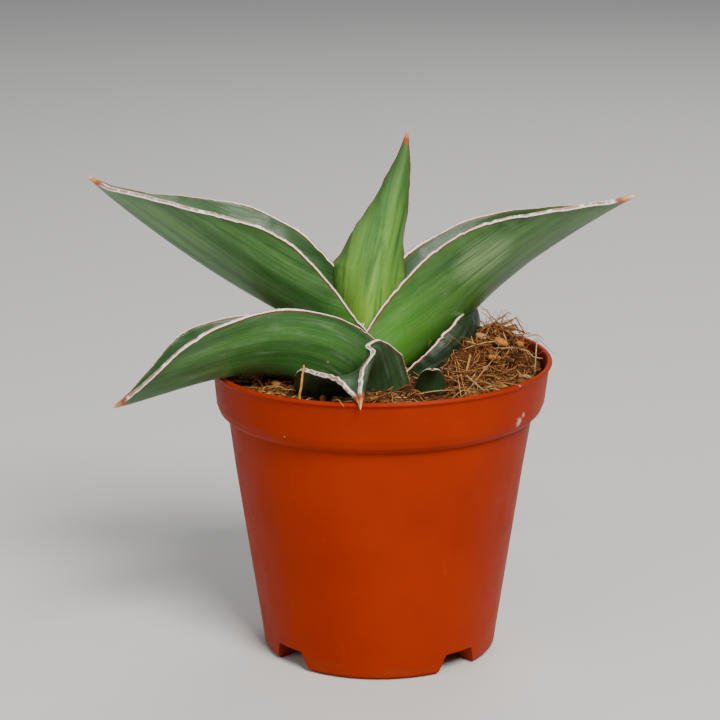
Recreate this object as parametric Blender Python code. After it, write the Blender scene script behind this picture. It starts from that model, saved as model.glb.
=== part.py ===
"""Potted snake plant: seven stiff channelled leaves rising from a short crown, rooted in
coconut coir in a 9 cm plastic nursery pot.

Frame: metres, +Z up, -Y is the front.  The origin is the middle of the object's box, on the
surface that the pot's feet stand on.
"""

import math
import random

import bmesh
import bpy
from mathutils import Matrix, Vector

MM = 0.001
GAP = 0.3                      # clearance that touching pieces keep, mm

# Place of the pot's axis in the frame, mm
POT_AXIS = (4.0, 1.27, 0)

# Pot, mm
POT_SEGMENTS = 56
RIM_RADIUS = 45.0
RIM_HEIGHT = 78.4
LIP_DEPTH = 1.2
BAND_TOP_RADIUS = 44.4
BAND_LOW_RADIUS = 43.3
BAND_HEIGHT = 13.5
BAND_ROUND = 3.2
WALL_TOP_RADIUS = 40.4
WALL_LOW_RADIUS = 31.0
WALL = 0.9
FLOOR_LOW = 6.4
FLOOR_TOP = 7.4
SKIRT_LIFT = 0.8
PAD_OUTER = 30.2
PAD_INNER = 25.6
FOOT_COUNT = 4
NOTCH_FIRST_DEG = -49.0        # from the front, towards +X
NOTCH_WIDTH = 13.0
NOTCH_TOP_WIDTH = 9.0
NOTCH_HEIGHT = 5.4
DRAIN_CENTRE_RADIUS = 5.0
DRAIN_SIDE_RADIUS = 3.5
DRAIN_SIDE_DISTANCE = 17.0

# Coir mix, mm
SOIL_SEGMENTS = 40
SOIL_RINGS = 8
SOIL_EDGE = 73.6
SOIL_CENTRE = 74.4
SOIL_ROUGHNESS = 0.5
MOUND_AT = (28.0, 11.0)
MOUND_HEIGHT = 11.0
MOUND_SPREAD = 12.5

# Crown, mm
CROWN_AT = (0.0, 3.5)
CROWN_RADIUS = 8.5
CROWN_NECK_RADIUS = 4.5
CROWN_LOW = 54.0
CROWN_SHOULDER = 66.0
CROWN_TOP = 76.0

# Leaf mesh
LEAF_STATIONS = 18
HALF_COLUMNS = 4
KEEL_THICKNESS = 2.8
MARGIN_THICKNESS = 0.9
TIP_THICKNESS = 0.9
TIP_HALF_WIDTH = 0.7
KEEL_FADE = 12                 # the sharp keel rounds off only at the very tip
KEEL_SHARE = 0.16              # keel thickness allowed for each mm of half width
MOST_OF_RADIUS = 0.6           # thickest the leaf may be, as a share of the section's radius
LEAST_TURN = 0.3
INNER_LEAST = 0.03             # keeps the two inner walls apart along a sharp keel

SEED = 7

# Each leaf, mm and degrees.  Rise and heading are read at the base, the middle and the tip of
# the keel line; roll turns the section about that line; keel and margin are the section's
# slope at its middle and at its edge.  Every pair of values runs from base to tip.
LEAVES = {
    "leaf_centre": dict(
        base=(-2.2, 3.3, 72.5), length=68.0,
        rise=(101.5, 75.5, 85.0), heading=(-9.0, 18.0, -9.5), roll=(-104.0, -96.0),
        half_width=15.7, base_width=0.69, widest=0.41, taper=0.81,
        keel=(9.5, 22.0), margin=(88.0, 70.5)),
    "leaf_right": dict(
        base=(3.4, 2.8, 71.8), length=82.2,
        rise=(38.0, 37.0, 30.5), heading=(33.5, 2.5, -16.0), roll=(-5.5, -12.0),
        half_width=25.8, base_width=0.72, widest=0.46, taper=1.76,
        keel=(28.5, 8.0), margin=(140.5, 11.5)),
    "leaf_upper_left": dict(
        base=(-2.4, 6.0, 77.2), length=90.2,
        rise=(22.5, 35.0, 40.5), heading=(159.5, 194.5, 167.0), roll=(-19.0, 15.0),
        half_width=26.0, base_width=0.38, widest=0.50, taper=1.72,
        keel=(23.5, 23.0), margin=(132.5, 11.5)),
    "leaf_lower_left": dict(
        base=(-7.5, -9.8, 61.9), length=71.1,
        rise=(72.5, 1.0, -14.0), heading=(194.0, 200.5, 179.0), roll=(22.0, 8.0),
        half_width=19.9, base_width=1.10, widest=0.61, taper=1.61,
        keel=(38.0, 12.0), margin=(125.5, 32.5)),
    "leaf_back_right": dict(
        base=(12.7, 4.6, 64.7), length=37.4,
        rise=(37.5, 40.5, 41.5), heading=(12.5, 67.5, 82.0), roll=(-5.5, -27.0),
        half_width=20.2, base_width=0.84, widest=0.44, taper=1.75,
        keel=(3.5, 11.0), margin=(119.5, 117.0)),
    "leaf_front": dict(
        base=(-8.1, -19.9, 70.4), length=33.6,
        rise=(62.5, 17.0, -44.5), heading=(280.0, 283.0, 249.5), roll=(-6.5, 62.0),
        half_width=21.2, base_width=0.98, widest=0.15, taper=0.91,
        keel=(-3.5, 15.0), margin=(63.0, 89.0)),
    "leaf_small": dict(
        base=(13.4, -12.6, 68.6), length=13.8,
        rise=(74.0, 66.5, 23.0), heading=(272.0, 272.5, 266.5), roll=(1.0, 0.5),
        half_width=5.2, base_width=1.05, widest=0.30, taper=1.90,
        keel=(1.5, 8.0), margin=(65.0, 70.5)),
}

# Husk chips lying on the coir: place on the surface, lift of the middle, length, width,
# thickness in mm, and turn and tilt in degrees
HUSK_CHIPS = [
    dict(at=(32.3, 1.0), lift=2.8, size=(3.8, 3.2, 2.0), turn=20.0, tilt=25.0),
    dict(at=(29.6, -3.4), lift=2.6, size=(2.8, 2.2, 1.6), turn=70.0, tilt=20.0),
    dict(at=(35.0, 15.5), lift=4.0, size=(6.0, 2.0, 1.4), turn=5.0, tilt=-38.0),
    dict(at=(27.0, 1.0), lift=3.2, size=(3.0, 2.2, 1.6), turn=-30.0, tilt=15.0),
    dict(at=(-26.8, -13.5), lift=1.9, size=(3.0, 2.4, 1.6), turn=10.0, tilt=10.0),
    dict(at=(-14.5, -27.5), lift=1.9, size=(1.8, 1.4, 2.2), turn=15.0, tilt=10.0),
    dict(at=(37.4, 4.0), lift=2.4, size=(2.2, 1.8, 1.6), turn=50.0, tilt=25.0),
]
CHIP_JITTER = 0.12

# Loose straws: radius, then points as x, y and height above the coir, mm
STRAWS = [
    (0.40, [(-19.5, -36.0, 1.0), (-19.0, -36.2, 6.0), (-18.3, -36.5, 11.3)]),
    (0.28, [(-30.0, -13.5, 1.0), (-31.0, -14.4, 2.6), (-32.2, -15.2, 4.2)]),
    (0.26, [(41.0, -2.0, 1.2), (41.3, -1.6, 6.0), (41.6, -1.2, 10.8)]),
    (0.45, [(22.6, -8.0, 1.3), (23.2, -6.4, 2.2), (23.9, -4.6, 3.0)]),
    (0.34, [(27.0, -18.0, 1.1), (24.8, -14.0, 1.5), (22.6, -10.0, 1.8)]),
]
STRAW_SIDES = 6

LEAF_GREEN = (0.055, 0.130, 0.040, 1.0)
YOUNG_GREEN = (0.110, 0.240, 0.040, 1.0)
POT_RED = (0.480, 0.085, 0.022, 1.0)
COIR_BROWN = (0.160, 0.070, 0.025, 1.0)
HUSK_ORANGE = (0.420, 0.190, 0.055, 1.0)
STRAW_TAN = (0.480, 0.300, 0.120, 1.0)
CROWN_PALE = (0.500, 0.440, 0.280, 1.0)


def material(name, colour, roughness):
    """One Principled material with a colour and a roughness."""
    made = bpy.data.materials.new(name)
    made.use_nodes = True
    shader = made.node_tree.nodes["Principled BSDF"]
    shader.inputs["Base Color"].default_value = colour
    shader.inputs["Roughness"].default_value = roughness
    shader.inputs["Metallic"].default_value = 0.0
    return made


def add_object(name, mesh_source, finish=None, smooth_deg=35.0):
    """Turn a bmesh in millimetres about the pot's axis into an object in metres."""
    mesh_source.transform(Matrix.Scale(MM, 4) @ Matrix.Translation(POT_AXIS))
    bmesh.ops.recalc_face_normals(mesh_source, faces=mesh_source.faces)
    if mesh_source.calc_volume(signed=True) < 0:
        bmesh.ops.reverse_faces(mesh_source, faces=mesh_source.faces)
    mesh = bpy.data.meshes.new(name)
    mesh_source.to_mesh(mesh)
    mesh_source.free()
    mesh.shade_smooth()
    mesh.set_sharp_from_angle(angle=math.radians(smooth_deg))
    if finish:
        mesh.materials.append(finish)
    made = bpy.data.objects.new(name, mesh)
    bpy.context.scene.collection.objects.link(made)
    return made


def hide_cutter(cutter):
    """A cutter shows as wire and is left out of the model."""
    cutter.hide_render = True
    cutter.display_type = "WIRE"


def cut(target, cutter):
    """Subtract the cutter from the target."""
    hide_cutter(cutter)
    step = target.modifiers.new("cut_" + cutter.name, "BOOLEAN")
    step.operation = "DIFFERENCE"
    step.solver = "EXACT"
    step.object = cutter


def keep_main_body(target):
    """Apply the cuts, then drop the loose slivers that they leave beside the main body."""
    bpy.context.view_layer.update()
    graph = bpy.context.evaluated_depsgraph_get()
    finished = bmesh.new()
    finished.from_object(target, graph)
    finished.verts.ensure_lookup_table()
    waiting = set(finished.verts)
    bodies = []
    while waiting:
        body = {waiting.pop()}
        edge_of_body = list(body)
        while edge_of_body:
            vert = edge_of_body.pop()
            for edge in vert.link_edges:
                other = edge.other_vert(vert)
                if other in waiting:
                    waiting.remove(other)
                    body.add(other)
                    edge_of_body.append(other)
        bodies.append(body)
    bodies.sort(key=len)
    for sliver in bodies[:-1]:
        bmesh.ops.delete(finished, geom=list(sliver), context="VERTS")
    target.modifiers.clear()
    finished.to_mesh(target.data)
    finished.free()


def turned(profile, segments):
    """Spin a closed (radius, height) outline about the Z axis; radius 0 makes one pole."""
    made = bmesh.new()
    rings = []
    for radius, height in profile:
        if radius == 0.0:
            rings.append([made.verts.new((0.0, 0.0, height))])
            continue
        ring = []
        for step in range(segments):
            angle = math.tau * step / segments
            place = (radius * math.cos(angle), radius * math.sin(angle), height)
            ring.append(made.verts.new(place))
        rings.append(ring)
    for low, high in zip(rings, rings[1:] + rings[:1]):
        if len(low) == 1 and len(high) == 1:
            continue
        for step in range(segments):
            after = (step + 1) % segments
            if len(low) == 1:
                made.faces.new((low[0], high[after], high[step]))
            elif len(high) == 1:
                made.faces.new((low[step], low[after], high[0]))
            else:
                made.faces.new((low[step], low[after], high[after], high[step]))
    return made


def front_direction(degrees):
    """Unit vector in the plane, counted from the front towards +X."""
    angle = math.radians(degrees - 90.0)
    return Vector((math.cos(angle), math.sin(angle), 0.0))


# ---------------------------------------------------------------- pot

def wall_radius(height):
    """Outer radius of the tapered body wall."""
    band_low = RIM_HEIGHT - BAND_HEIGHT
    share = (height - SKIRT_LIFT) / (band_low - SKIRT_LIFT)
    return WALL_LOW_RADIUS + (WALL_TOP_RADIUS - WALL_LOW_RADIUS) * share


def pot_outline():
    """Closed outline of the pot's wall, floor, skirt and foot ring."""
    band_low = RIM_HEIGHT - BAND_HEIGHT
    shoulder = WALL_TOP_RADIUS + 0.9
    outside = [
        (WALL_LOW_RADIUS, SKIRT_LIFT),
        (WALL_TOP_RADIUS, band_low - 0.3),
        (WALL_TOP_RADIUS + 0.1, band_low),
        (shoulder, band_low + 0.1),
        (BAND_LOW_RADIUS - 0.6, band_low + BAND_ROUND * 0.45),
        (BAND_LOW_RADIUS, band_low + BAND_ROUND),
        (BAND_TOP_RADIUS, RIM_HEIGHT - LIP_DEPTH),
        (RIM_RADIUS, RIM_HEIGHT - LIP_DEPTH * 0.8),
        (RIM_RADIUS, RIM_HEIGHT - LIP_DEPTH * 0.2),
        (RIM_RADIUS - 0.3, RIM_HEIGHT),
    ]
    inside = [
        (BAND_TOP_RADIUS - WALL, RIM_HEIGHT),
        (BAND_LOW_RADIUS - WALL, band_low + BAND_ROUND),
        (WALL_TOP_RADIUS - WALL, band_low - 1.2),
        (wall_radius(FLOOR_TOP + 2.0) - WALL, FLOOR_TOP + 2.0),
        (wall_radius(FLOOR_TOP) - WALL - 1.6, FLOOR_TOP),
        (0.0, FLOOR_TOP),
    ]
    underside = [
        (0.0, FLOOR_LOW),
        (PAD_INNER, FLOOR_LOW),
        (PAD_INNER, 0.0),
        (PAD_OUTER, 0.0),
        (PAD_OUTER, SKIRT_LIFT),
    ]
    return outside + inside + underside


def notch_cutter(index):
    """Trapezoid prism across the foot ring between two feet."""
    out = front_direction(NOTCH_FIRST_DEG + index * 360.0 / FOOT_COUNT)
    side = Vector((-out.y, out.x, 0.0))
    made = bmesh.new()
    ends = []
    for distance in (PAD_INNER - 3.0, WALL_LOW_RADIUS + 3.0):
        outline = []
        for across, height in ((-0.5 * NOTCH_WIDTH, -1.0), (0.5 * NOTCH_WIDTH, -1.0),
                               (0.5 * NOTCH_WIDTH, 0.0), (0.5 * NOTCH_TOP_WIDTH, NOTCH_HEIGHT),
                               (-0.5 * NOTCH_TOP_WIDTH, NOTCH_HEIGHT), (-0.5 * NOTCH_WIDTH, 0.0)):
            outline.append(made.verts.new(out * distance + side * across + Vector((0, 0, height))))
        ends.append(outline)
        made.faces.new(outline)
    count = len(ends[0])
    for step in range(count):
        after = (step + 1) % count
        made.faces.new((ends[0][step], ends[0][after], ends[1][after], ends[1][step]))
    return add_object(f"notch_{index + 1}", made)


def drain_cutter(name, centre, radius):
    """Upright round cutter through the pot's floor."""
    made = turned([(0.0, FLOOR_LOW - 1.0), (radius, FLOOR_LOW - 1.0),
                   (radius, FLOOR_TOP + 1.0), (0.0, FLOOR_TOP + 1.0)], 16)
    made.transform(Matrix.Translation(centre))
    return add_object(name, made)


def build_pot():
    """The pot in one moulded piece, with four notches between its feet and five drain holes."""
    pot = add_object("pot", turned(pot_outline(), POT_SEGMENTS),
                     material("pot", POT_RED, 0.42), 28.0)
    for index in range(FOOT_COUNT):
        cut(pot, notch_cutter(index))
        direction = front_direction(NOTCH_FIRST_DEG + index * 360.0 / FOOT_COUNT)
        cut(pot, drain_cutter(f"drain_{index + 1}", direction * DRAIN_SIDE_DISTANCE,
                              DRAIN_SIDE_RADIUS))
    cut(pot, drain_cutter("drain_centre", Vector((0, 0, 0)), DRAIN_CENTRE_RADIUS))
    return pot


# ---------------------------------------------------------------- leaves

def through_three(values, share):
    """Smooth curve through three values at the start, the middle and the end."""
    first, middle, last = values
    return (first * (1 - share) * (1 - 2 * share) + 4 * middle * share * (1 - share)
            + last * share * (2 * share - 1))


def between(values, share):
    """Straight change from the first value to the second."""
    return values[0] + (values[1] - values[0]) * share


def width_share(leaf, share):
    """Half width along the leaf as a share of its widest value."""
    if share < leaf["widest"]:
        rise = math.sin(0.5 * math.pi * share / leaf["widest"])
        return leaf["base_width"] + (1 - leaf["base_width"]) * rise
    return 1 - ((share - leaf["widest"]) / (1 - leaf["widest"])) ** leaf["taper"]


def keel_direction(leaf, share):
    """Heading of the keel line, and the level direction to its left."""
    rise = math.radians(through_three(leaf["rise"], share))
    heading = math.radians(through_three(leaf["heading"], share))
    forward = Vector((math.cos(rise) * math.cos(heading), math.cos(rise) * math.sin(heading),
                      math.sin(rise)))
    left = Vector((-math.sin(heading), math.cos(heading), 0.0))
    return forward, left


def keel_points(leaf, count):
    """Points along the keel line from the base to the tip."""
    step = leaf["length"] / (count - 1)
    points = [Vector(leaf["base"])]
    for index in range(1, count):
        before, _ = keel_direction(leaf, (index - 1) / (count - 1))
        after, _ = keel_direction(leaf, index / (count - 1))
        points.append(points[-1] + (before + after) * 0.5 * step)
    return points


def half_section(leaf, share, half_width, columns):
    """Outer outline of half a section, and its inward normals, from the keel to the margin."""
    keel = math.radians(between(leaf["keel"], share)) * (1 - share ** KEEL_FADE)
    margin = math.radians(between(leaf["margin"], share))
    point = Vector((0.0, 0.0))
    outline = []
    for column in range(columns + 1):
        slope = keel + (margin - keel) * column / columns
        if column:
            last = keel + (margin - keel) * (column - 1) / columns
            step = Vector((math.cos(slope) + math.cos(last), math.sin(slope) + math.sin(last)))
            point = point + step * (0.5 * half_width / columns)
        normal = Vector((-math.sin(slope), math.cos(slope)))
        outline.append((point.copy(), normal))
    outline[0] = (outline[0][0], Vector((0.0, 1.0)))
    return outline


def thickness_at(leaf, share, column_share, half_width):
    """Leaf thickness: thick along the keel, thin at the margins and towards the tip."""
    turn = math.radians(between(leaf["margin"], share) - between(leaf["keel"], share))
    room = MOST_OF_RADIUS * half_width / max(turn, LEAST_TURN)
    keel = TIP_THICKNESS + (KEEL_THICKNESS - TIP_THICKNESS) * (1 - share ** 3)
    keel = min(keel, KEEL_SHARE * leaf["half_width"] + TIP_THICKNESS)
    thickness = MARGIN_THICKNESS + (keel - MARGIN_THICKNESS) * (1 - column_share ** 2)
    return min(thickness, room)


def leaf_mesh(leaf, grow=0.0):
    """Closed leaf: a channel swept along its keel line, grown on every side if asked."""
    made = bmesh.new()
    places = keel_points(leaf, LEAF_STATIONS)
    loops = []
    for index, place in enumerate(places):
        share = index / (LEAF_STATIONS - 1)
        forward, left = keel_direction(leaf, share)
        roll = math.radians(between(leaf["roll"], share))
        up = forward.cross(left)
        side = math.cos(roll) * left + math.sin(roll) * up
        inward = math.cos(roll) * up - math.sin(roll) * left
        half_width = max(leaf["half_width"] * width_share(leaf, share), TIP_HALF_WIDTH)
        outline = half_section(leaf, share, half_width + grow, HALF_COLUMNS)
        outer = []
        inner = []
        for sign in (1, -1):
            columns = list(enumerate(outline))
            if sign == -1:
                columns = columns[1:]
            for column, (point, normal) in columns:
                deep = thickness_at(leaf, share, column / HALF_COLUMNS, half_width)
                start = point - normal * grow
                end = point + normal * (deep + grow)
                end.x = max(end.x, INNER_LEAST * half_width * column / HALF_COLUMNS)
                outer.append((sign * column, place + side * (sign * start.x) + inward * start.y))
                inner.append((sign * column, place + side * (sign * end.x) + inward * end.y))
        outer.sort(key=lambda item: item[0])
        inner.sort(key=lambda item: -item[0])
        loops.append([made.verts.new(point) for _, point in outer + inner])
    if grow:
        first_forward, _ = keel_direction(leaf, 0.0)
        last_forward, _ = keel_direction(leaf, 1.0)
        for vert in loops[0]:
            vert.co -= first_forward * grow
        for vert in loops[-1]:
            vert.co += last_forward * grow
    made.faces.new(loops[0])
    made.faces.new(loops[-1])
    count = len(loops[0])
    for low, high in zip(loops, loops[1:]):
        for step in range(count):
            after = (step + 1) % count
            made.faces.new((low[step], low[after], high[after], high[step]))
    made.normal_update()
    bmesh.ops.triangulate(made, faces=made.faces)
    return made


def build_leaves(crown_room):
    """Seven leaves, each trimmed to clear the crown and every leaf that it wraps around.
    Returns the room that the crown and each leaf take."""
    rooms = [crown_room]
    for name, leaf in LEAVES.items():
        colour = YOUNG_GREEN if name == "leaf_centre" else LEAF_GREEN
        made = add_object(name, leaf_mesh(leaf), material(name, colour, 0.45), 50.0)
        for room in rooms:
            cut(made, room)
        keep_main_body(made)
        grown = add_object("room_for_" + name, leaf_mesh(leaf, GAP))
        hide_cutter(grown)
        rooms.append(grown)
    return rooms


# ---------------------------------------------------------------- crown and coir

def crown_mesh(grow=0.0):
    """Short stem: a buried cone that narrows upwards between the leaf bases."""
    made = turned([
        (0.0, CROWN_LOW - grow),
        (CROWN_RADIUS * 0.6 + grow, CROWN_LOW - grow),
        (CROWN_RADIUS + grow, CROWN_LOW + 3.5),
        (CROWN_RADIUS + grow, CROWN_SHOULDER - 4.0),
        (CROWN_NECK_RADIUS + 1.5 + grow, CROWN_SHOULDER),
        (CROWN_NECK_RADIUS + grow, CROWN_TOP - 2.0),
        (CROWN_NECK_RADIUS * 0.6 + grow, CROWN_TOP + grow),
        (0.0, CROWN_TOP + grow),
    ], 20)
    made.transform(Matrix.Translation((*CROWN_AT, 0.0)))
    return made


def build_crown():
    """The short stem that the leaves and roots grow from, and the room it takes."""
    add_object("crown", crown_mesh(), material("crown", CROWN_PALE, 0.7))
    room = add_object("room_for_crown", crown_mesh(GAP))
    hide_cutter(room)
    return room


def soil_height(x, y):
    """Height of the coir's surface: nearly level, with a mound at the right and back."""
    reach = math.hypot(x, y) / (BAND_TOP_RADIUS - WALL)
    level = SOIL_CENTRE + (SOIL_EDGE - SOIL_CENTRE) * reach ** 2
    away = ((x - MOUND_AT[0]) ** 2 + (y - MOUND_AT[1]) ** 2) / MOUND_SPREAD ** 2
    fade = 1 - max(0.0, reach - 0.75) / 0.25
    return level + MOUND_HEIGHT * math.exp(-away) * max(0.0, fade)


def build_coir(rooms):
    """The coir mix: fills the pot to just under the rim, carries the mound, and is hollowed
    around the crown and the leaf bases."""
    made = bmesh.new()
    random.seed(SEED)
    band_low = RIM_HEIGHT - BAND_HEIGHT
    sides = [
        (wall_radius(FLOOR_TOP) - WALL - 1.6 - 2 * GAP, FLOOR_TOP + GAP),
        (wall_radius(FLOOR_TOP + 2.0) - WALL - 2 * GAP, FLOOR_TOP + 2.0 + GAP),
        (WALL_TOP_RADIUS - WALL - 2 * GAP, band_low - 1.2),
        (BAND_LOW_RADIUS - WALL - 2 * GAP, band_low + BAND_ROUND + GAP),
    ]
    edge = sides[-1][0]
    rings = []
    for radius, height in sides:
        rings.append([(radius, height)] * SOIL_SEGMENTS)
    for ring in range(SOIL_RINGS):
        share = 1 - ring / SOIL_RINGS
        rings.append([(edge * share, None)] * SOIL_SEGMENTS)
    loops = []
    for ring in rings:
        loop = []
        for step, (radius, height) in enumerate(ring):
            angle = math.tau * step / SOIL_SEGMENTS
            x = radius * math.cos(angle)
            y = radius * math.sin(angle)
            if height is None:
                height = soil_height(x, y) + random.uniform(-SOIL_ROUGHNESS, SOIL_ROUGHNESS)
            loop.append(made.verts.new((x, y, height)))
        loops.append(loop)
    for low, high in zip(loops, loops[1:]):
        for step in range(SOIL_SEGMENTS):
            after = (step + 1) % SOIL_SEGMENTS
            made.faces.new((low[step], low[after], high[after], high[step]))
    for loop, height in ((loops[0], FLOOR_TOP + GAP), (loops[-1], SOIL_CENTRE)):
        centre = made.verts.new((0, 0, height))
        for step in range(SOIL_SEGMENTS):
            made.faces.new((loop[step], loop[(step + 1) % SOIL_SEGMENTS], centre))
    bmesh.ops.triangulate(made, faces=made.faces)
    coir = add_object("coir_mix", made, material("coir_mix", COIR_BROWN, 0.9), 30.0)
    for room in rooms:
        cut(coir, room)
    keep_main_body(coir)


def build_chips():
    """Angular husk chips, each resting just clear of the coir's surface."""
    random.seed(SEED + 1)
    for index, chip in enumerate(HUSK_CHIPS):
        made = bmesh.new()
        bmesh.ops.create_icosphere(made, subdivisions=1, radius=0.5)
        for vert in made.verts:
            vert.co *= 1 + random.uniform(-CHIP_JITTER, CHIP_JITTER)
        made.transform(Matrix.Diagonal((*chip["size"], 1.0)))
        made.transform(Matrix.Rotation(math.radians(chip["tilt"]), 4, "Y"))
        made.transform(Matrix.Rotation(math.radians(chip["turn"]), 4, "Z"))
        x, y = chip["at"]
        made.transform(Matrix.Translation((x, y, soil_height(x, y) + chip["lift"])))
        name = f"husk_chip_{index + 1}"
        add_object(name, made, material(name, HUSK_ORANGE, 0.85))


def build_straws():
    """Loose coir straws that lie on the surface or lean up out of it."""
    for index, (radius, points) in enumerate(STRAWS):
        name = f"straw_{index + 1}"
        made = bmesh.new()
        loops = []
        places = [Vector((x, y, soil_height(x, y) + above)) for x, y, above in points]
        along = (places[-1] - places[0]).normalized()
        side = along.cross(Vector((0.3, 1.0, 0.1))).normalized()
        other = along.cross(side)
        for place in places:
            loop = []
            for step in range(STRAW_SIDES):
                angle = math.tau * step / STRAW_SIDES
                offset = side * math.cos(angle) + other * math.sin(angle)
                loop.append(made.verts.new(place + offset * radius))
            loops.append(loop)
        made.faces.new(loops[0])
        made.faces.new(loops[-1])
        for low, high in zip(loops, loops[1:]):
            for step in range(STRAW_SIDES):
                after = (step + 1) % STRAW_SIDES
                made.faces.new((low[step], low[after], high[after], high[step]))
        add_object(name, made, material(name, STRAW_TAN, 0.8))


def main():
    for old in list(bpy.data.objects):
        bpy.data.objects.remove(old)
    build_pot()
    rooms = build_leaves(build_crown())
    build_coir(rooms)
    build_chips()
    build_straws()


main()
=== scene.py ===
import math

import bmesh
import bpy
import numpy as np
from mathutils import Matrix, Vector
from mathutils.kdtree import KDTree


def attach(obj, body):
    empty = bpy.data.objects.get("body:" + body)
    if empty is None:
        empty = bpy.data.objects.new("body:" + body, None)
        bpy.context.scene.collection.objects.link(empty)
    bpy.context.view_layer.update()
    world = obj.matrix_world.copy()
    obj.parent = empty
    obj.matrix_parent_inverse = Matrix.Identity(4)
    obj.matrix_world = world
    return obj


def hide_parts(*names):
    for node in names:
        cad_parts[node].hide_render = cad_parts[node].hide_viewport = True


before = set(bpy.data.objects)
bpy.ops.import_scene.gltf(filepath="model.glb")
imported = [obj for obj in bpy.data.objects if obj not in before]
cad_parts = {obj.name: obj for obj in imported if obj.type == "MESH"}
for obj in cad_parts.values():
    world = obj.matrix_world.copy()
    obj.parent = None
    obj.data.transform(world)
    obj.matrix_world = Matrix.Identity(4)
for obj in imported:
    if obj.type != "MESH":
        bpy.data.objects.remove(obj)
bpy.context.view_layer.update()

MM = 0.001
POT_AXIS = np.array((4.0, 1.27, 0.0))   # the pot's axis, as in the CAD, mm
SEED = 11

# ------------------------------------------------------------------ design values, mm
# Pot
RIM_HEIGHT = 78.4
BAND_HEIGHT = 13.5
BAND_LOW = RIM_HEIGHT - BAND_HEIGHT
WALL_LOW_RADIUS = 31.0
WALL_TOP_RADIUS = 40.4
WALL = 0.9
FLOOR_LOW = 6.4
FLOOR_TOP = 7.4
SKIRT_LIFT = 0.8
PAD_INNER = 25.6
FOOT_COUNT = 4
NOTCH_FIRST_DEG = -49.0                 # from the front, towards +X
NOTCH_HEIGHT = 5.4
DRAIN_CENTRE_RADIUS = 5.0
DRAIN_SIDE_RADIUS = 3.5
DRAIN_SIDE_DISTANCE = 17.0
POT_SIDES = 224
RIM_LEAN = 0.55                         # how far the rim stands off the axis

# Coir
SOIL_REACH = 43.5
SOIL_EDGE = 73.6
SOIL_CENTRE = 74.4
MOUND_AT = (28.0, 11.0)
MOUND_HEIGHT = 11.0
MOUND_SPREAD = 12.5
MOUND_TOP = 81.5
# Bumps and scoops on the coir: place, height and spread
BUMPS = ((21.0, 1.0, 3.6, 6.5), (37.0, 8.0, 4.2, 7.0), (13.5, -21.0, -6.0, 7.5))
BED_RADIUS = 42.9
BED_RINGS = 100
BED_SIDES = 300
# Radius and height down the hidden sides of the bed, inside the pot
SKIRT = ((41.4, 68.4), (38.9, 65.0), (38.2, 60.0), (31.4, 12.0), (28.9, 7.8))
FIBRE_COUNT = 4300
CRUMB_COUNT = 520

# Crown
CROWN_AT = (0.0, 3.5)

# Leaves
KEEL_THICKNESS = 2.8
MARGIN_THICKNESS = 0.9
TIP_THICKNESS = 0.9
KEEL_FADE = 12
KEEL_SHARE = 0.16
MOST_OF_RADIUS = 0.6
LEAST_TURN = 0.3
INNER_LEAST = 0.03
SMALL_HALF_WIDTH = 8.0                  # leaves narrower than this have a fine, straight margin
STATIONS = 230
SMALL_STATIONS = 60
HALF_COLUMNS = 15
EDGE_STEPS = np.array((0.0, 0.12, 0.28, 0.48, 0.72, 1.0, 1.4, 2.0))
CORD_AT = 0.38                          # the pale cord's distance from the edge
CORD_SPREAD = 0.28
CORD_LIFT = 0.13
EDGE_ROUND = 0.48
LEAF_VALUES = ("along", "across", "edge", "to_tip", "inner")

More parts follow.
